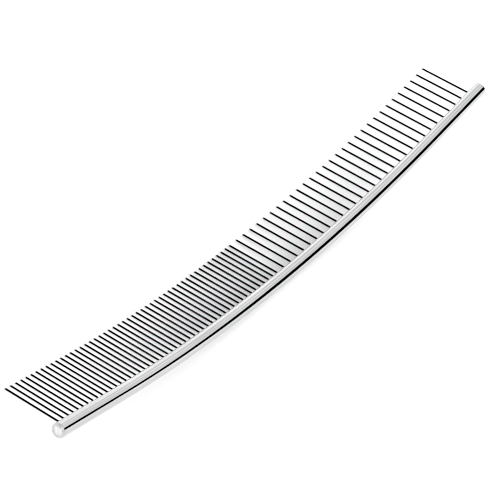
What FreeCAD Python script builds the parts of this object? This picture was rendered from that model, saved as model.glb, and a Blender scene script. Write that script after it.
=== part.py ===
import FreeCAD, Part
import math
import os

# Curved steel grooming comb.
#
# A round steel tube carries one row of straight pins: closely spaced on one half and widely
# spaced on the other. The tube is bowed to a large radius along most of its length and runs on
# straight at both ends. The pins pass through its wall and are seated in a steel core that
# fills the bore. A plug closes each end of the bore, flush with the tube's rounded rim.
#
# The comb lies on its resting surface as it would on a table: the middle of the bowed tube and
# the tips of the middle pins touch the surface and both ends are raised. The bow stays in an
# upright plane, so the pins droop a few degrees from a square line to it.
# X runs along the comb from the fine end (-X) to the coarse end (+X), +Y points from the tube
# to the pin tips, and +Z is up. The origin is under the centre of the comb, on the surface.
# All sizes are in millimetres.

# Pin row
FINE_PITCH = 2.5
COARSE_PITCH = 4.0
FINE_COUNT = 49
COARSE_COUNT = 30
FINE_PINS_PER_NODE = 2
PIN_DIAMETER = 1.1
PIN_REACH = 23.0          # from the tube's axis to the pin's tip
PIN_SEAT_DEPTH = 1.0      # how far the shank goes past the tube's axis
PIN_FOOT_CHAMFER = 0.15
PIN_HOLE_CHAMFER = 0.12   # depth of the broken edge round each pin's hole

# Tube
BEND_RADIUS = 410.0       # of the tube's axis
BEND_LENGTH = 188.0       # along the axis; the tube is straight beyond it
TUBE_DIAMETER = 4.8
TUBE_WALL = 0.8
TUBE_RIM_RADIUS = 0.3
TUBE_MOUTH_CHAMFER = 0.05
FINE_END_MARGIN = 3.9     # from the first fine pin to the tube's end
COARSE_END_MARGIN = 4.8   # from the last coarse pin to the tube's end

# End plugs
PLUG_LENGTH = 2.4
PLUG_EDGE_CHAMFER = 0.06

TUBE_RADIUS = TUBE_DIAMETER / 2
BORE_RADIUS = TUBE_RADIUS - TUBE_WALL
PIN_RADIUS = PIN_DIAMETER / 2

FINE_SPAN = (FINE_COUNT - 1) * FINE_PITCH
COARSE_SPAN = COARSE_COUNT * COARSE_PITCH

# Stations are distances along the tube's axis. The middle of the pin row is station 0.
ROW_START = -(FINE_SPAN + COARSE_SPAN) / 2
ROW_END = (FINE_SPAN + COARSE_SPAN) / 2
TUBE_START = ROW_START - FINE_END_MARGIN
TUBE_END = ROW_END + COARSE_END_MARGIN
BEND_END = BEND_LENGTH / 2

# Angle of the pins below the square line, which brings the middle tips down to the surface.
PIN_DROOP = math.asin((TUBE_RADIUS - PIN_RADIUS) / (PIN_REACH - PIN_RADIUS))

ORIGIN = FreeCAD.Vector(0, 0, 0)
X_AXIS = FreeCAD.Vector(1, 0, 0)
Y_AXIS = FreeCAD.Vector(0, 1, 0)
Z_AXIS = FreeCAD.Vector(0, 0, 1)
BEND_CENTRE = FreeCAD.Vector(0, 0, BEND_RADIUS)


def at_station(shape, station):
    """Carry a shape made at the middle of the tube along its bent axis to a station."""
    bent = max(-BEND_END, min(BEND_END, station))
    moved = shape.copy()
    moved.translate(FreeCAD.Vector(station - bent, 0, 0))
    moved.rotate(BEND_CENTRE, Y_AXIS, -math.degrees(bent / BEND_RADIUS))
    return moved


def at_end(shape, station, outward):
    """Carry a shape made along +X to a station so that its +X points outward, along +X or -X."""
    turned = shape.copy()
    if outward < 0:
        turned.rotate(ORIGIN, Z_AXIS, 180)
    return at_station(turned, station)


def drooped(shape):
    """Turn a shape made along +Y down by the pins' droop."""
    turned = shape.copy()
    turned.rotate(ORIGIN, X_AXIS, -math.degrees(PIN_DROOP))
    return turned


def rod(radius, start, end):
    """A round solid along the tube's axis, from a straight end through the bend to the other."""
    circle = Part.makeCircle(radius, ORIGIN, X_AXIS)
    face = at_station(Part.Face(Part.Wire(circle)), -BEND_END)
    bend = face.revolve(BEND_CENTRE, Y_AXIS, -math.degrees(BEND_LENGTH / BEND_RADIUS))
    near = Part.makeCylinder(radius, -BEND_END - start, ORIGIN, X_AXIS)
    far = Part.makeCylinder(radius, end - BEND_END, ORIGIN, X_AXIS)
    return bend.fuse([at_end(near, -BEND_END, -1), at_end(far, BEND_END, 1)])


def revolved(outline, axis):
    """A solid of revolution about an axis through the origin, from a closed outline of points."""
    closed = [FreeCAD.Vector(*point) for point in outline + outline[:1]]
    return Part.Face(Part.makePolygon(closed)).revolve(ORIGIN, axis, 360)


def along_row(shape):
    """Copies of a shape made along +Y, one at each pin's place."""
    return [at_station(drooped(shape), station) for station in fine_stations() + coarse_stations()]


def pin_bores():
    """The round bores of the whole row, from the pins' feet outwards."""
    foot = FreeCAD.Vector(0, -PIN_SEAT_DEPTH, 0)
    return along_row(Part.makeCylinder(PIN_RADIUS, PIN_SEAT_DEPTH + 2 * TUBE_RADIUS, foot, Y_AXIS))


def pin_hole_edges():
    """Cones that break the edge of each pin's hole where it leaves the tube."""
    start = FreeCAD.Vector(0, TUBE_RADIUS - PIN_HOLE_CHAMFER, 0)
    return along_row(Part.makeCone(PIN_RADIUS, PIN_RADIUS + PIN_DIAMETER, PIN_DIAMETER, start, Y_AXIS))


def fine_stations():
    return [ROW_START + i * FINE_PITCH for i in range(FINE_COUNT)]


def coarse_stations():
    first = ROW_START + FINE_SPAN
    return [first + (i + 1) * COARSE_PITCH for i in range(COARSE_COUNT)]


def make_pin():
    """One pin along +Y: a straight round wire with a chamfered foot and a ball tip."""
    ball_centre = PIN_REACH - PIN_RADIUS
    foot = -PIN_SEAT_DEPTH
    outline = [
        (0, foot, 0),
        (PIN_RADIUS - PIN_FOOT_CHAMFER, foot, 0),
        (PIN_RADIUS, foot + PIN_FOOT_CHAMFER, 0),
        (PIN_RADIUS, ball_centre, 0),
        (0, ball_centre, 0),
    ]
    ball = Part.makeSphere(PIN_RADIUS, FreeCAD.Vector(0, ball_centre, 0), Y_AXIS, 0, 90)
    return drooped(revolved(outline, Y_AXIS).fuse(ball))


def is_circle_at(edge, x):
    """Whether an edge is a circle about the X axis at the given x."""
    return isinstance(edge.Curve, Part.Circle) and abs(edge.Curve.Center.x - x) < 1e-6


def make_rim():
    """The last stretch of the tube, along +X: a rounded rim outside and a chamfered mouth inside."""
    sleeve = Part.makeCylinder(TUBE_RADIUS, PLUG_LENGTH, ORIGIN, X_AXIS)
    edge = [edge for edge in sleeve.Edges if is_circle_at(edge, PLUG_LENGTH)]
    sleeve = sleeve.makeFillet(TUBE_RIM_RADIUS, edge)
    mouth = PLUG_LENGTH - TUBE_MOUTH_CHAMFER
    bore = [
        (0, 0, 0),
        (0, BORE_RADIUS, 0),
        (mouth, BORE_RADIUS, 0),
        (PLUG_LENGTH, BORE_RADIUS + TUBE_MOUTH_CHAMFER, 0),
        (PLUG_LENGTH, 0, 0),
    ]
    return sleeve.cut(revolved(bore, X_AXIS))


def make_tube(bores):
    """The bowed tube with its straight ends and a drilled hole for each pin."""
    start = TUBE_START + PLUG_LENGTH
    end = TUBE_END - PLUG_LENGTH
    rim = make_rim()
    tube = rod(TUBE_RADIUS, start, end).cut(rod(BORE_RADIUS, start, end))
    tube = tube.fuse([at_end(rim, start, -1), at_end(rim, end, 1)])
    return tube.cut(bores).cut(pin_hole_edges())


def make_core(bores):
    """The rod that fills the bore between the plugs, with a blind hole for each pin."""
    return rod(BORE_RADIUS, TUBE_START + PLUG_LENGTH, TUBE_END - PLUG_LENGTH).cut(bores)


def make_plug():
    """A plug along +X whose outer face has a chamfered edge."""
    outline = [
        (0, 0, 0),
        (0, BORE_RADIUS, 0),
        (PLUG_LENGTH - PLUG_EDGE_CHAMFER, BORE_RADIUS, 0),
        (PLUG_LENGTH, BORE_RADIUS - PLUG_EDGE_CHAMFER, 0),
        (PLUG_LENGTH, 0, 0),
    ]
    return revolved(outline, X_AXIS)


def single_solid(shape):
    """The one solid of a shape, without the compound that a cut may wrap round it."""
    if len(shape.Solids) != 1:
        raise ValueError("expected one solid, found %d" % len(shape.Solids))
    return shape.Solids[0]


def build_nodes():
    """Every node of the comb by name, with the middle of the tube's axis at the origin."""
    bores = pin_bores()
    pin = single_solid(make_pin())
    plug = make_plug()
    nodes = {
        "spine_tube": single_solid(make_tube(bores)),
        "pin_core": single_solid(make_core(bores)),
        "fine_end_plug": at_end(plug, TUBE_START + PLUG_LENGTH, -1),
        "coarse_end_plug": at_end(plug, TUBE_END - PLUG_LENGTH, 1),
    }
    fine = fine_stations()
    for first in range(0, FINE_COUNT, FINE_PINS_PER_NODE):
        name = "fine_pins_%02d" % (first // FINE_PINS_PER_NODE + 1)
        group = [at_station(pin, station) for station in fine[first:first + FINE_PINS_PER_NODE]]
        nodes[name] = Part.makeCompound(group)
    for number, station in enumerate(coarse_stations(), start=1):
        nodes["coarse_pin_%02d" % number] = at_station(pin, station)
    return nodes


def move_to_surface(nodes):
    """The move that sets the comb's box over the origin, with its lowest point on the surface."""
    box = FreeCAD.BoundBox()
    for shape in nodes.values():
        box.add(shape.optimalBoundingBox(True, False))
    return FreeCAD.Placement(FreeCAD.Vector(-box.Center.x, -box.Center.y, -box.ZMin), FreeCAD.Rotation())


def main():
    os.makedirs("parts", exist_ok=True)
    nodes = build_nodes()
    move = move_to_surface(nodes)
    for name, shape in nodes.items():
        placed = shape.copy()
        placed.Placement = move.multiply(placed.Placement)
        placed.exportStep("parts/%s.step" % name)


main()
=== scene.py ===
"""Looks of the curved steel grooming comb: polished steel on a pale table, in soft studio light."""
import math

import bpy
from mathutils import Matrix, Vector


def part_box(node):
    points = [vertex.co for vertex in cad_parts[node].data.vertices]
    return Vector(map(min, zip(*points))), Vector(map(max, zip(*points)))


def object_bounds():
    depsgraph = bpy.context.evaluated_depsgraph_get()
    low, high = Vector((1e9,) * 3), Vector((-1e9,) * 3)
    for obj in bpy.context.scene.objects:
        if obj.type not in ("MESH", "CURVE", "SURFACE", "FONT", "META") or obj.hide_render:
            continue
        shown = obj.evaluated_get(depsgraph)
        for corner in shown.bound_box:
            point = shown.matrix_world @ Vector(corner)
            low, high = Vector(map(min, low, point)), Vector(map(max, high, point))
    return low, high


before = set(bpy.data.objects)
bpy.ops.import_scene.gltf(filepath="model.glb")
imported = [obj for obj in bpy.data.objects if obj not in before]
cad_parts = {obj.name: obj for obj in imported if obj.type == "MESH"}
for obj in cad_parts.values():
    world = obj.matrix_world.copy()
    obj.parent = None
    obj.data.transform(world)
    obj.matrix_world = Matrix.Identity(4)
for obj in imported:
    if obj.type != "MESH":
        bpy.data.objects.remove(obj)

MM = 0.001
cad_low, cad_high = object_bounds()
CENTRE = (cad_low + cad_high) / 2
RIGHT = Vector((1, 0, 0))
OUT = Vector((0, 1, 0))
UP = Vector((0, 0, 1))

# The comb's geometry. The tube's ends are straight beyond the bend, and the pins droop.
BEND_RADIUS = 410 * MM
BEND_LENGTH = 188 * MM
BEND_ANGLE = BEND_LENGTH / 2 / BEND_RADIUS
PIN_RADIUS = 0.55 * MM
PIN_REACH = 23 * MM
# The tube's axis has its lowest point at the row's middle, where fine_pins_25 is the one pin.
tube_low, tube_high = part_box("spine_tube")
middle_low, middle_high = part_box("fine_pins_25")
TUBE_RADIUS = (tube_high[1] - tube_low[1]) / 2
AXIS_Y = (tube_high[1] + tube_low[1]) / 2
AXIS_X = (middle_high[0] + middle_low[0]) / 2
PIN_DROOP = math.asin((TUBE_RADIUS - PIN_RADIUS) / (PIN_REACH - PIN_RADIUS))


# ---------------------------------------------------------------- node helpers

class Nodes:
    """Short calls for building one material's node tree."""

    BUMP_STRENGTH = 0.5

    def __init__(self, tree):
        self.tree = tree

    def add(self, kind, **settings):
        node = self.tree.nodes.new(kind)
        for key, value in settings.items():
            setattr(node, key, value)
        return node

    def link(self, source, target):
        self.tree.links.new(source, target)

    def feed(self, node, inputs):
        """Set or link a node's inputs, and give back its first output."""
        for key, value in inputs.items():
            if isinstance(value, bpy.types.NodeSocket):
                self.link(value, node.inputs[key])
            else:
                node.inputs[key].default_value = value
        return node.outputs[0]

    def place(self):
        """A point's place in the comb's own frame."""
        return self.add("ShaderNodeTexCoord").outputs["Object"]

    def math(self, operation, a, b=0.0):
        return self.feed(self.add("ShaderNodeMath", operation=operation), {0: a, 1: b})

    def vector(self, x, y, z):
        return self.feed(self.add("ShaderNodeCombineXYZ"), {"X": x, "Y": y, "Z": z})

    def split(self, vector):
        node = self.add("ShaderNodeSeparateXYZ")
        self.feed(node, {"Vector": vector})
        return node.outputs

    def noise(self, vector, waves, detail, roughness=0.5):
        """Noise between 0 and 1, of so many waves to a metre along each axis."""
        stretched = self.feed(self.add("ShaderNodeMapping"), {"Vector": vector, "Scale": waves})
        inputs = {"Vector": stretched, "Scale": 1.0, "Detail": detail, "Roughness": roughness}
        return self.feed(self.add("ShaderNodeTexNoise"), inputs)

    def spread(self, value, low, high, to_low=0.0, to_high=1.0):
        """A value from one range, clamped and carried to another."""
        inputs = {"Value": value, "From Min": low, "From Max": high, "To Min": to_low, "To Max": to_high}
        return self.feed(self.add("ShaderNodeMapRange", clamp=True), inputs)

    def blend(self, factor, first, second):
        """A colour between two others."""
        ramp = self.add("ShaderNodeValToRGB")
        ramp.color_ramp.elements[0].color = (*first, 1)
        ramp.color_ramp.elements[1].color = (*second, 1)
        return self.feed(ramp, {"Fac": factor})

    def bump(self, height, distance, under=None):
        """The normal of a relief, laid over another normal where one is given."""
        inputs = {"Height": height, "Distance": distance, "Strength": self.BUMP_STRENGTH}
        if under is not None:
            inputs["Normal"] = under
        return self.feed(self.add("ShaderNodeBump"), inputs)


def new_material(name):
    """A new material, its nodes and its Principled shader."""
    material = bpy.data.materials.new(name)
    material.use_nodes = True
    tree = material.node_tree
    return material, Nodes(tree), tree.nodes["Principled BSDF"]


def straightened(nodes):
    """Coordinates with the bend taken out: X along the comb, Y out towards the tips, Z up."""
    x, y, z = nodes.split(nodes.place())
    x = nodes.math("SUBTRACT", x, AXIS_X)
    y = nodes.math("SUBTRACT", y, AXIS_Y)
    end = BEND_RADIUS * math.sin(BEND_ANGLE)
    bent = nodes.math("MINIMUM", nodes.math("MAXIMUM", x, -end), end)
    beyond = nodes.math("ABSOLUTE", nodes.math("SUBTRACT", x, bent))
    square = nodes.math("MULTIPLY", bent, bent)
    below = nodes.math("SQRT", nodes.math("SUBTRACT", BEND_RADIUS ** 2, square))
    rise = nodes.math("SUBTRACT", BEND_RADIUS, below)
    rise = nodes.math("ADD", rise, nodes.math("MULTIPLY", beyond, math.tan(BEND_ANGLE)))
    z = nodes.math("SUBTRACT", nodes.math("SUBTRACT", z, TUBE_RADIUS), rise)
    return nodes.vector(x, y, z)


# ---------------------------------------------------------------- steel

def fine_lines(nodes, place, waves):
    """Noise for the fine lines that drawing or turning leaves."""
    return nodes.noise(place, waves, detail=3.0, roughness=0.65)


def blotches(nodes, place, waves):
    """Noise for streaks, smudges and stains."""
    return nodes.noise(place, waves, detail=3.0, roughness=0.6)


def steel(nodes, shader, drawn, stains, tint, depth=0.93, height=0.0006 * MM):
    """Polished steel: drawn lines of a height, stains that vary the tint down to a depth, and pits.

    Gives back its roughness above the plain polish, and its normal."""
    line_roughness = 0.06
    stain_roughness = 0.03
    pit_roughness = 0.2
    pit_depth = 0.002 * MM
    pits = nodes.noise(nodes.place(), (2400.0, 2400.0, 2400.0), detail=1.0)
    pits = nodes.spread(pits, 0.78, 0.84)
    stains = nodes.spread(stains, 0.35, 0.65)
    dark = tuple(depth * level for level in tint)
    shader.inputs["Metallic"].default_value = 1.0
    nodes.link(nodes.blend(stains, dark, tint), shader.inputs["Base Color"])
    rough = nodes.spread(drawn, 0.5, 0.8, to_high=line_roughness)
    rough = nodes.math("ADD", rough, nodes.math("MULTIPLY", stains, stain_roughness))
    rough = nodes.math("ADD", rough, nodes.math("MULTIPLY", pits, pit_roughness))
    normal = nodes.bump(drawn, height)
    return rough, nodes.bump(pits, -pit_depth, normal)


def cut_faces(nodes):
    """1 where the tube was sawn or drilled, which faces along the comb, and 0 on its round side."""
    side_slope = 0.24
    cut_slope = 0.3
    x = nodes.split(nodes.add("ShaderNodeNewGeometry").outputs["Normal"])[0]
    return nodes.spread(nodes.math("ABSOLUTE", x), side_slope, cut_slope)


def finish(nodes, shader, rough, normal):
    """Join a roughness and a normal to a shader."""
    nodes.link(rough, shader.inputs["Roughness"])
    nodes.link(normal, shader.inputs["Normal"])


def tube_steel():
    """The tube: lengthwise hairlines and streaks, slow ripples that waver the reflections' edges,
    and duller steel where it was cut."""
    material, nodes, shader = new_material("polished_tube")
    polish = 0.06
    cut = 0.32
    ripple_height = 0.05 * MM
    place = straightened(nodes)
    drawn = fine_lines(nodes, place, (18.0, 9000.0, 9000.0))
    streaks = blotches(nodes, place, (25.0, 900.0, 900.0))
    tint = (0.64, 0.64, 0.645)
    rough, normal = steel(nodes, shader, drawn, streaks, tint, depth=0.86, height=0.002 * MM)
    rough = nodes.math("ADD", rough, nodes.spread(cut_faces(nodes), 0.0, 1.0, polish, cut))
    ripples = nodes.noise(place, (70.0, 160.0, 160.0), detail=2.0)
    finish(nodes, shader, rough, nodes.bump(ripples, ripple_height, normal))
    return material


def pin_steel():
    """The pins: drawn wire with lines along its length, rubbed smoother towards the tips."""
    material, nodes, shader = new_material("polished_pin")
    polish = 0.05
    rubbed_tip = 0.4
    x, y, z = nodes.split(straightened(nodes))
    z = nodes.math("ADD", z, nodes.math("MULTIPLY", y, math.tan(PIN_DROOP)))
    place = nodes.vector(x, y, z)
    rubbed = nodes.spread(y, PIN_REACH / 2, PIN_REACH, to_low=1.0, to_high=rubbed_tip)
    drawn = nodes.math("MULTIPLY", rubbed, fine_lines(nodes, place, (14000.0, 60.0, 14000.0)))
    smudges = blotches(nodes, place, (300.0, 110.0, 300.0))
    rough, normal = steel(nodes, shader, drawn, smudges, tint=(0.765, 0.765, 0.77))
    finish(nodes, shader, nodes.math("ADD", rough, polish), normal)
    return material


def plug_steel(name, node, outward):
    """A plug's end face: fine rings left by the lathe about its centre, polished over and stained."""
    material, nodes, shader = new_material(name)
    polish = 0.12
    low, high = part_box(node)
    centre = (Vector(low) + Vector(high)) / 2
    place = nodes.place()
    moved = nodes.feed(nodes.add("ShaderNodeVectorMath", operation="SUBTRACT"), {0: place, 1: centre})
    turned = nodes.add("ShaderNodeMapping")
    turned.inputs["Rotation"].default_value = (0.0, outward * BEND_ANGLE, 0.0)
    y, z = nodes.split(nodes.feed(turned, {"Vector": moved}))[1:]
    square = nodes.math("ADD", nodes.math("MULTIPLY", y, y), nodes.math("MULTIPLY", z, z))
    radius = nodes.math("SQRT", square)
    rings = fine_lines(nodes, nodes.vector(radius, 0.0, 0.0), (9000.0, 1.0, 1.0))
    stains = blotches(nodes, place, (900.0, 900.0, 900.0))
    rough, normal = steel(nodes, shader, rings, stains, tint=(0.8, 0.8, 0.805), depth=0.72)
    finish(nodes, shader, nodes.math("ADD", rough, polish), normal)
    return material


def core_steel():
    """The core inside the tube: plain drawn bar."""
    material, nodes, shader = new_material("drawn_core")
    unpolished = 0.3
    place = straightened(nodes)
    drawn = fine_lines(nodes, place, (40.0, 5000.0, 5000.0))
    streaks = blotches(nodes, place, (40.0, 700.0, 700.0))
    rough, normal = steel(nodes, shader, drawn, streaks, tint=(0.5, 0.5, 0.5))
    finish(nodes, shader, nodes.math("ADD", rough, unpolished), normal)
    return material


def give(material, names):
    """Make a material the only one of some CAD nodes."""
    for name in names:
        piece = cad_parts[name]
        piece.data.materials.clear()
        piece.data.materials.append(material)


def give_steels():
    pins = [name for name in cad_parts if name.startswith(("fine_pins_", "coarse_pin_"))]
    give(tube_steel(), ["spine_tube"])
    give(pin_steel(), pins)
    give(plug_steel("fine_plug_face", "fine_end_plug", 1), ["fine_end_plug"])
    give(plug_steel("coarse_plug_face", "coarse_end_plug", -1), ["coarse_end_plug"])
    give(core_steel(), ["pin_core"])


# ---------------------------------------------------------------- stage

def add_object(name, data):
    piece = bpy.data.objects.new(name, data)
    bpy.context.scene.collection.objects.link(piece)
    return piece


def table():
    """A wide pale table top with a faint grain and a low gloss."""
    material, nodes, shader = new_material("pale_table")
    grain = nodes.noise(nodes.place(), (900.0, 900.0, 900.0), detail=3.0)
    shader.inputs["Base Color"].default_value = (0.88, 0.88, 0.88, 1)
    shader.inputs["Specular IOR Level"].default_value = 0.2
    rough = nodes.spread(grain, 0.3, 0.7, to_low=0.6, to_high=0.7)
    nodes.link(rough, shader.inputs["Roughness"])
    half = 6.0
    mesh = bpy.data.meshes.new("table")
    corners = [(-half, -half, 0), (half, -half, 0), (half, half, 0), (-half, half, 0)]
    mesh.from_pydata(corners, [], [(0, 1, 2, 3)])
    mesh.materials.append(material)
    add_object("table", mesh)


def glow(name, radiance):
    """A card's face: even light that fades to nothing at the card's soft edges."""
    material = bpy.data.materials.new(name)
    material.use_nodes = True
    material.node_tree.nodes.clear()
    nodes = Nodes(material.node_tree)
    solid = nodes.add("ShaderNodeAttribute", attribute_name="solid").outputs["Fac"]
    clear = nodes.add("ShaderNodeBsdfTransparent").outputs[0]
    light = nodes.feed(nodes.add("ShaderNodeEmission"), {"Strength": radiance})
    surface = nodes.feed(nodes.add("ShaderNodeMixShader"), {0: solid, 1: clear, 2: light})
    nodes.link(surface, nodes.add("ShaderNodeOutputMaterial").inputs["Surface"])
    return material


def card(name, pole, start, side, edges, radiance, soft):
    """A curved card of painted reflection, glowing or black, seen only in reflections and lighting or
    shading nothing.

    It is a patch of a large sphere about the comb. pole is the axis that turn is measured about,
    from start towards side, and edges lists (tilt towards the pole, first turn, last turn) in
    degrees. soft is the width of the fading edge, in degrees of turn, or 0 for a hard one."""
    distance = 3.0
    steps = 40
    points = []
    solid = []
    for tilt, first, last in edges:
        level = math.radians(tilt)
        for i in range(steps + 1):
            turn = first + (last - first) * i / steps
            angle = math.radians(turn)
            around = start * math.cos(angle) + side * math.sin(angle)
            points.append(CENTRE + distance * (around * math.cos(level) + pole * math.sin(level)))
            inside = min(turn - first, last - turn)
            solid.append(min(1.0, inside / soft) if soft else 1.0)
    faces = []
    for row in range(len(edges) - 1):
        for i in range(steps):
            a = row * (steps + 1) + i
            faces.append((a, a + 1, a + steps + 2, a + steps + 1))
    mesh = bpy.data.meshes.new(name)
    mesh.from_pydata(points, [], faces)
    mesh.attributes.new("solid", "FLOAT", "POINT").data.foreach_set("value", solid)
    mesh.materials.append(glow(name, radiance))
    piece = add_object(name, mesh)
    piece.visible_camera = False
    piece.visible_diffuse = False
    piece.visible_shadow = False


def key_light():
    """A wide soft light from behind the tube, which clears the table there of shade."""
    data = bpy.data.lights.new("key", "SUN")
    data.energy = 3.0
    data.angle = math.radians(50)
    piece = add_object("key", data)
    towards_light = Vector((0.1, -1, 0.4))
    piece.rotation_euler = towards_light.to_track_quat("Z", "Y").to_euler()
    piece.visible_glossy = False


def studio():
    """Even white light all round, one lamp, and the cards of painted reflection that only the steel
    mirrors.
    """
    world = bpy.data.worlds.new("studio")
    bpy.context.scene.world = world
    world.use_nodes = True
    background = world.node_tree.nodes["Background"]
    background.inputs["Color"].default_value = (1, 1, 1, 1)
    background.inputs["Strength"].default_value = 1.05
    # A black card seen only in reflections: a painted dark reflection that the pins mirror along their
    # whole length from any side.
    along_pin = Vector((0, math.cos(PIN_DROOP), -math.sin(PIN_DROOP)))
    above_pin = Vector((0, math.sin(PIN_DROOP), math.cos(PIN_DROOP)))
    pin_dark_reflection = [(-12, 40, 105), (14, 40, 105), (17, -8, 115), (33, -8, 115)]
    card("pin_dark_reflection", along_pin, -RIGHT, above_pin, pin_dark_reflection, radiance=0.0, soft=0)
    # A black card seen only in reflections: a painted dark reflection that the tube mirrors as one thin
    # black line.
    tube_dark_reflection_line = [(-50, 4, 18), (-40, 6, 30), (-20, 6, 40), (10, 6, 40),
                (15, 6, 49), (45, 6, 51), (52, 8, 38), (62, 4, 28)]
    card("tube_dark_reflection_line", RIGHT, -OUT, UP, tube_dark_reflection_line, radiance=0.0, soft=0)
    # A grey glowing card overhead and a white one behind the pins, seen only in reflections, which paint
    # the reflected shading of the tube's top.
    grey_reflection_glow = [(23, 70, 128), (66, 70, 128)]
    white_reflection_glow = [(23, 124, 195), (66, 124, 195)]
    card("grey_reflection_glow", RIGHT, -OUT, UP, grey_reflection_glow, radiance=1.08, soft=22)
    card("white_reflection_glow", RIGHT, -OUT, UP, white_reflection_glow, radiance=1.4, soft=22)
    # A bright glowing card at the fine end, seen only in reflections: a painted highlight that whitens
    # the upper edge of the tube's rim there.
    rim_highlight_glow = [(2, -5, 38), (12, -5, 38), (15, -5, 95), (40, -5, 95)]
    card("rim_highlight_glow", -OUT, -RIGHT, UP, rim_highlight_glow, radiance=2.0, soft=12)
    key_light()


def camera():
    """A long lens that looks down along the comb from its fine end, slightly rolled."""
    azimuth = math.radians(-64.87)
    elevation = math.radians(41.19)
    roll = math.radians(16.01)
    distance = 663.4 * MM
    middle_of_axis = Vector((AXIS_X, AXIS_Y, TUBE_RADIUS))
    aim = middle_of_axis + Vector((-3.86, 12.83, 5.51)) * MM
    back = Vector((math.sin(azimuth) * math.cos(elevation),
                   -math.cos(azimuth) * math.cos(elevation),
                   math.sin(elevation)))
    data = bpy.data.cameras.new("camera")
    data.sensor_width = 36.0
    data.lens = 143.05
    piece = add_object("camera", data)
    facing = (-back).to_track_quat("-Z", "Y").to_matrix()
    turned = facing @ Matrix.Rotation(roll, 3, "Z")
    piece.matrix_world = Matrix.Translation(aim + back * distance) @ turned.to_4x4()
    bpy.context.scene.camera = piece


# A plain view transform keeps the white table white, and a narrow pixel filter the pins crisp.
bpy.context.scene.view_settings.view_transform = "Standard"
bpy.context.scene.cycles.filter_width = 0.6
camera()
table()
studio()
give_steels()
